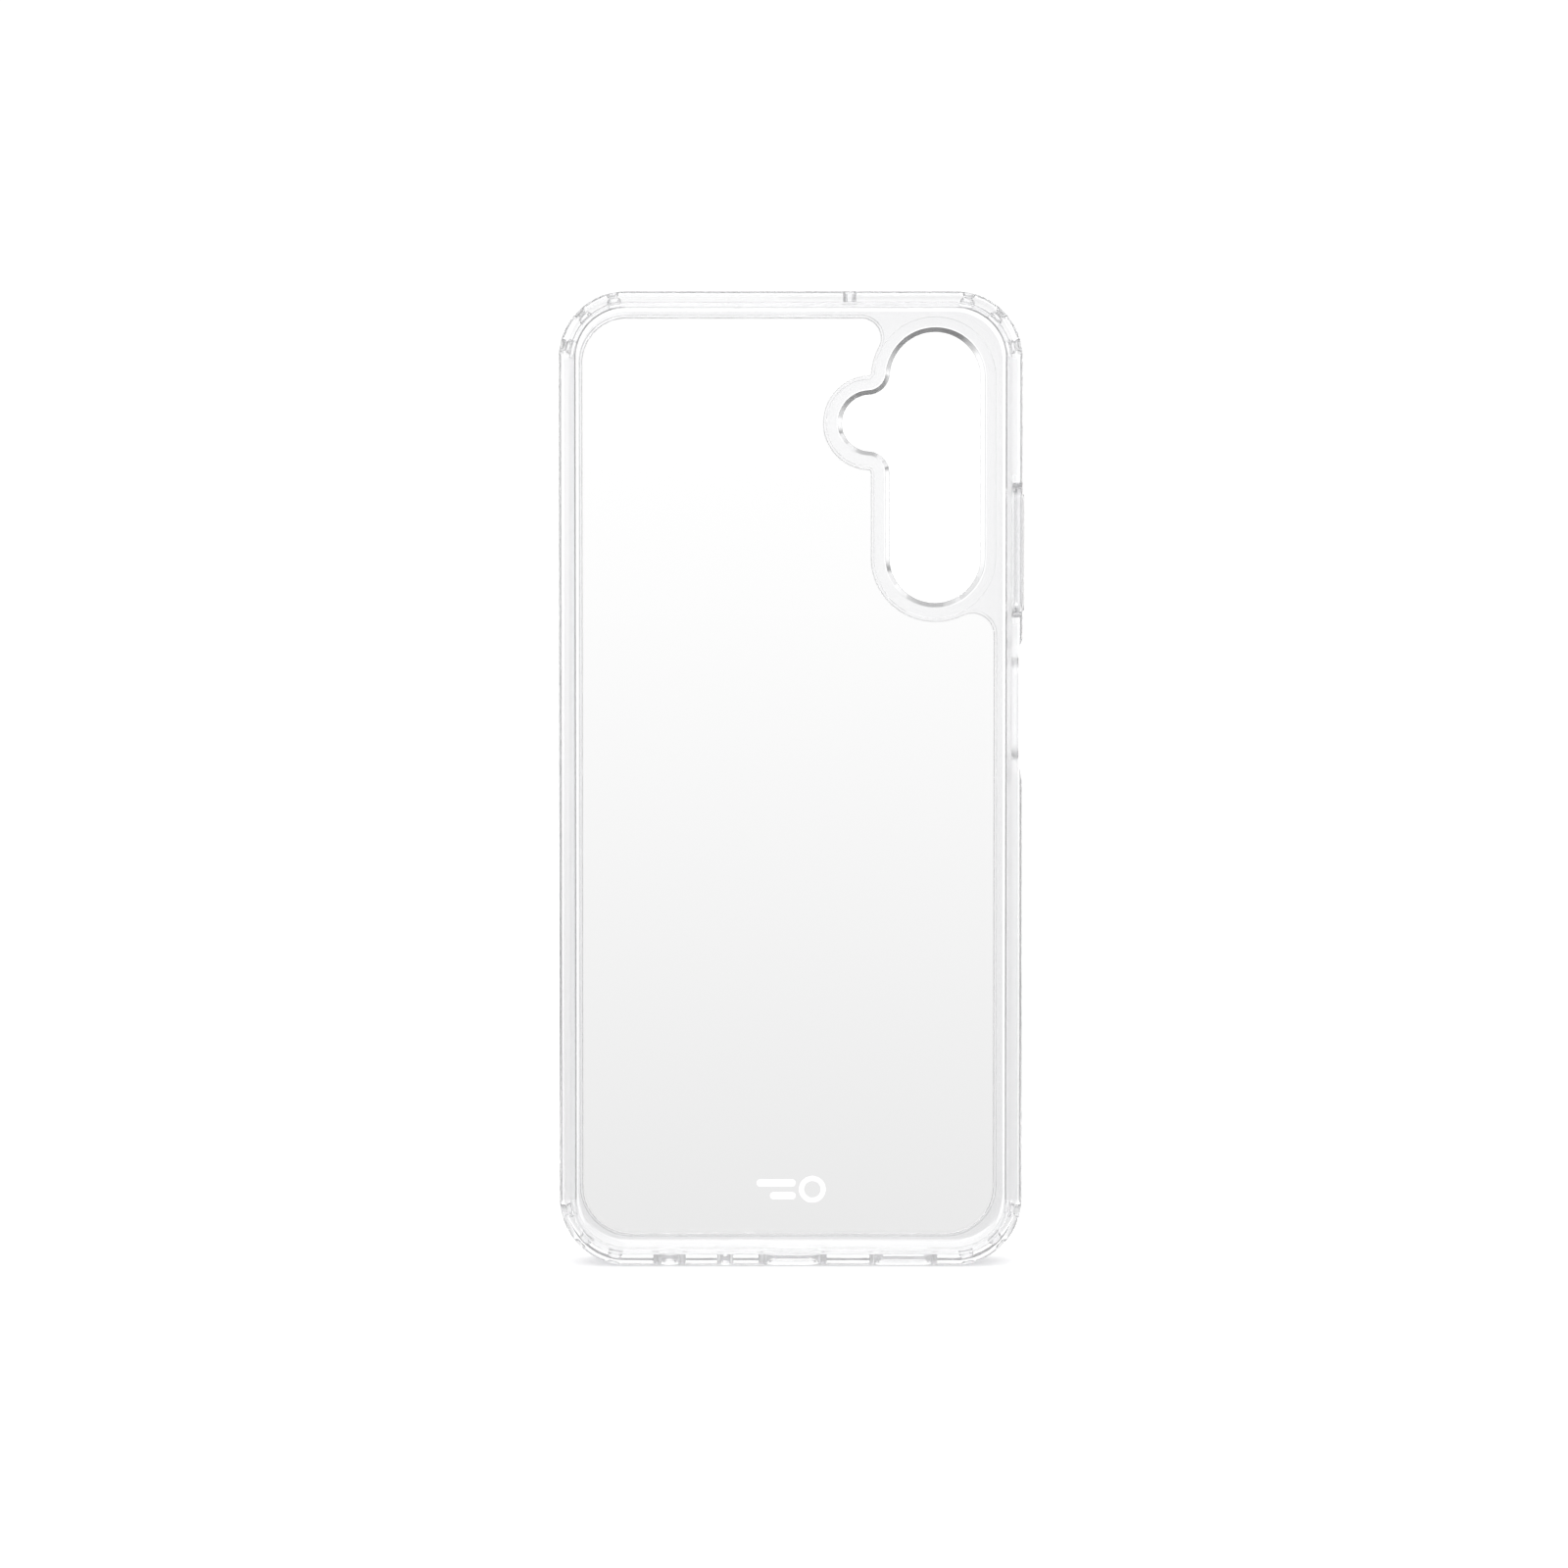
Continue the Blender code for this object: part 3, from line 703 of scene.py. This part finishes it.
def studio_world():
    """A white room, with the darker strips that the clear plastic gathers."""
    world = bpy.data.worlds.new("studio")
    bpy.context.scene.world = world
    world.use_nodes = True
    tree = world.node_tree
    tree.nodes.clear()
    link = tree.links.new
    towards = node(tree, "ShaderNodeNewGeometry")
    parts = node(tree, "ShaderNodeSeparateXYZ")
    link(towards.outputs["Position"], parts.inputs[0])
    x, y, z = parts.outputs
    rising = ramp(tree, z, 0.0, 0.12, HORIZON_TONE, FIELD_TONE, "LINEAR")
    squashed = length_of(tree, x, y, arithmetic(tree, "MULTIPLY", z, 0.6))
    share = arithmetic(tree, "DIVIDE", arithmetic(tree, "ABSOLUTE", y), squashed)
    turn = arithmetic(tree, "DIVIDE", arithmetic(tree, "ARCTAN2", z, x), math.pi)
    between = maximum(tree, strips(tree, turn, AROUND), ramp(tree, share, 0.85, 0.9, 0.0, 1.0))
    lit = even_ahead(tree, arithmetic(tree, "MULTIPLY", strips(tree, share), between))
    seen = node(tree, "ShaderNodeBackground", Color=(1, 1, 1, 1))
    link(arithmetic(tree, "MULTIPLY", rising, lit), seen.inputs["Strength"])
    plain = node(tree, "ShaderNodeBackground", Color=(1, 1, 1, 1), Strength=1.1)
    path = node(tree, "ShaderNodeLightPath")
    mix = node(tree, "ShaderNodeMixShader")
    link(maximum(tree, path.outputs["Is Camera Ray"], path.outputs["Is Diffuse Ray"]), mix.inputs[0])
    link(seen.outputs[0], mix.inputs[1])
    link(plain.outputs[0], mix.inputs[2])
    output = node(tree, "ShaderNodeOutputWorld")
    link(mix.outputs[0], output.inputs["Surface"])


def studio_floor():
    """A wide white floor that glows for the rays the clear plastic gathers, with painted shade that darkens
    it towards the case and for steep rays, and a painted bright band close beside the case.
    """
    bpy.ops.mesh.primitive_circle_add(vertices=96, radius=60.0, fill_type="NGON", location=(0, 0, -0.02 * MM))
    floor = bpy.context.object
    floor.name = "studio_floor"
    material = bpy.data.materials.new("studio_floor")
    material.use_nodes = True
    tree = material.node_tree
    tree.nodes.clear()
    link = tree.links.new
    place = node(tree, "ShaderNodeTexCoord")
    parts = node(tree, "ShaderNodeSeparateXYZ")
    link(place.outputs["Object"], parts.inputs[0])
    x, y, _ = parts.outputs
    level = length_of(tree, x, y)
    past_side = arithmetic(tree, "SUBTRACT", arithmetic(tree, "ABSOLUTE", x), HALF_WIDTH)
    beside = arithmetic(tree, "MAXIMUM", past_side, 0.0)
    across = arithmetic(tree, "ADD", length_of(tree, beside, y), 1e-5)
    share = arithmetic(tree, "DIVIDE", arithmetic(tree, "ABSOLUTE", y), across)
    glance = node(tree, "ShaderNodeLayerWeight", Blend=0.5)
    facing = glance.outputs["Facing"]
    sides = maximum(tree, strips(tree, share), ramp(tree, facing, LOW_START, LOW_FULL, 1.0, 0.0))
    # Painted shade: steep rays see the floor's glow dimmed.
    steep = ramp(tree, facing, STEEPEST, STEEP_END, STEEP_TONE, 1.0)
    # Painted shade: the floor's glow darkens towards the case.
    near = arithmetic(tree, "DIVIDE", level, arithmetic(tree, "ADD", level, FIELD_HALFWAY))
    field = ramp(tree, near, 0.0, 1.0, NEAR_TONE, HORIZON_TONE, "LINEAR")
    shaded = even_ahead(tree, arithmetic(tree, "MULTIPLY", sides, steep))
    far = arithmetic(tree, "MULTIPLY", field, shaded)
    # Painted light: a brighter band of glow on the floor close beside the case.
    close = ramp(tree, across, CLOSE_INNER, CLOSE_OUTER, CLOSE_TONE, 0.0)
    gathered = node(tree, "ShaderNodeEmission")
    link(maximum(tree, far, close), gathered.inputs["Strength"])
    lit = node(tree, "ShaderNodeBsdfDiffuse")
    lit.inputs["Color"].default_value = (0.86, 0.86, 0.86, 1)
    lift = node(tree, "ShaderNodeEmission", Strength=0.1)
    both = node(tree, "ShaderNodeAddShader")
    link(lit.outputs[0], both.inputs[0])
    link(lift.outputs[0], both.inputs[1])
    path = node(tree, "ShaderNodeLightPath")
    mix = node(tree, "ShaderNodeMixShader")
    link(path.outputs["Is Camera Ray"], mix.inputs[0])
    link(gathered.outputs[0], mix.inputs[1])
    link(both.outputs[0], mix.inputs[2])
    output = node(tree, "ShaderNodeOutputMaterial")
    link(mix.outputs[0], output.inputs["Surface"])
    floor.data.materials.append(material)


def soft_box(name, place, towards, width, height, power):
    """A large soft light."""
    light = bpy.data.lights.new(name, "AREA")
    light.shape = "RECTANGLE"
    light.size, light.size_y = width, height
    light.energy = power
    lamp = bpy.data.objects.new(name, light)
    lamp.location = place
    lamp.rotation_euler = (Vector(towards) - Vector(place)).to_track_quat("-Z", "Y").to_euler()
    bpy.context.collection.objects.link(lamp)
    return lamp


def photo_camera():
    """A long lens a little above the case's middle, from in front of its open side."""
    distance, lens, pitch = 660 * MM, 86.22, math.radians(1.379)
    eye_x, eye_z = -1.18 * MM, 116.3 * MM
    camera = bpy.data.cameras.new("camera")
    camera.sensor_width = 36
    camera.lens = lens
    camera.clip_start, camera.clip_end = 0.05, 50
    camera.shift_y = -0.055
    thing = bpy.data.objects.new("camera", camera)
    thing.location = (eye_x, RIM_Y - distance, eye_z)
    thing.rotation_euler = (math.pi / 2 - pitch, 0, 0)
    bpy.context.collection.objects.link(thing)
    bpy.context.scene.camera = thing


def build():
    photo_camera()
    soft = clear_plastic(
        "soft_clear", colour=(0.94, 0.94, 0.945), index=1.5, clarity=0.86, rough=0.018,
        grain=500.0, bump=0.007, passed=(0.75, 0.75, 0.76), satin=0.45,
    )
    thin = clear_plastic(
        "soft_clear_thin", colour=(0.99, 0.99, 0.99), index=1.5, clarity=1.0, rough=0.018,
        grain=500.0, bump=0.007, passed=(0.9, 0.9, 0.9),
    )
    hard = clear_plastic(
        "hard_clear", colour=(0.995, 0.995, 0.995), index=1.585, clarity=1.0, rough=0.002,
        grain=300.0, bump=0.02, passed=(0.93, 0.93, 0.93),
    )
    made = {
        "bumper_frame": (soft_frame(), "case", soft, "soft_clear"),
        "back_panel": (hard_panel(), "case", hard, "hard_clear"),
        "volume_key_web": (key_web(), "key_web", thin, "soft_clear"),
        "volume_key": (key_bar(), "key", thin, "soft_clear"),
    }
    for node_name, (piece, body, material, slot) in made.items():
        piece.data.materials.clear()
        piece.data.materials.append(material)
        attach(piece, body)
        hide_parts(node_name)
    mark = printed_mark()
    mark.data.materials.append(white_ink_with_painted_glow())
    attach(mark, "case")

    studio_world()
    studio_floor()
    soft_box("top_softbox", (0, -0.3, 1.6), (0, 0, 0.05), 1.6, 1.6, 6)
    soft_box("front_softbox", (-0.5, -1.6, 0.9), (0, 0, 0.08), 1.2, 1.2, 8)
    scene = bpy.context.scene
    scene.view_settings.view_transform = "Standard"
    scene.cycles.max_bounces = 24
    scene.cycles.transmission_bounces = 20
    scene.cycles.glossy_bounces = 8
    scene.cycles.transparent_max_bounces = 16


build()
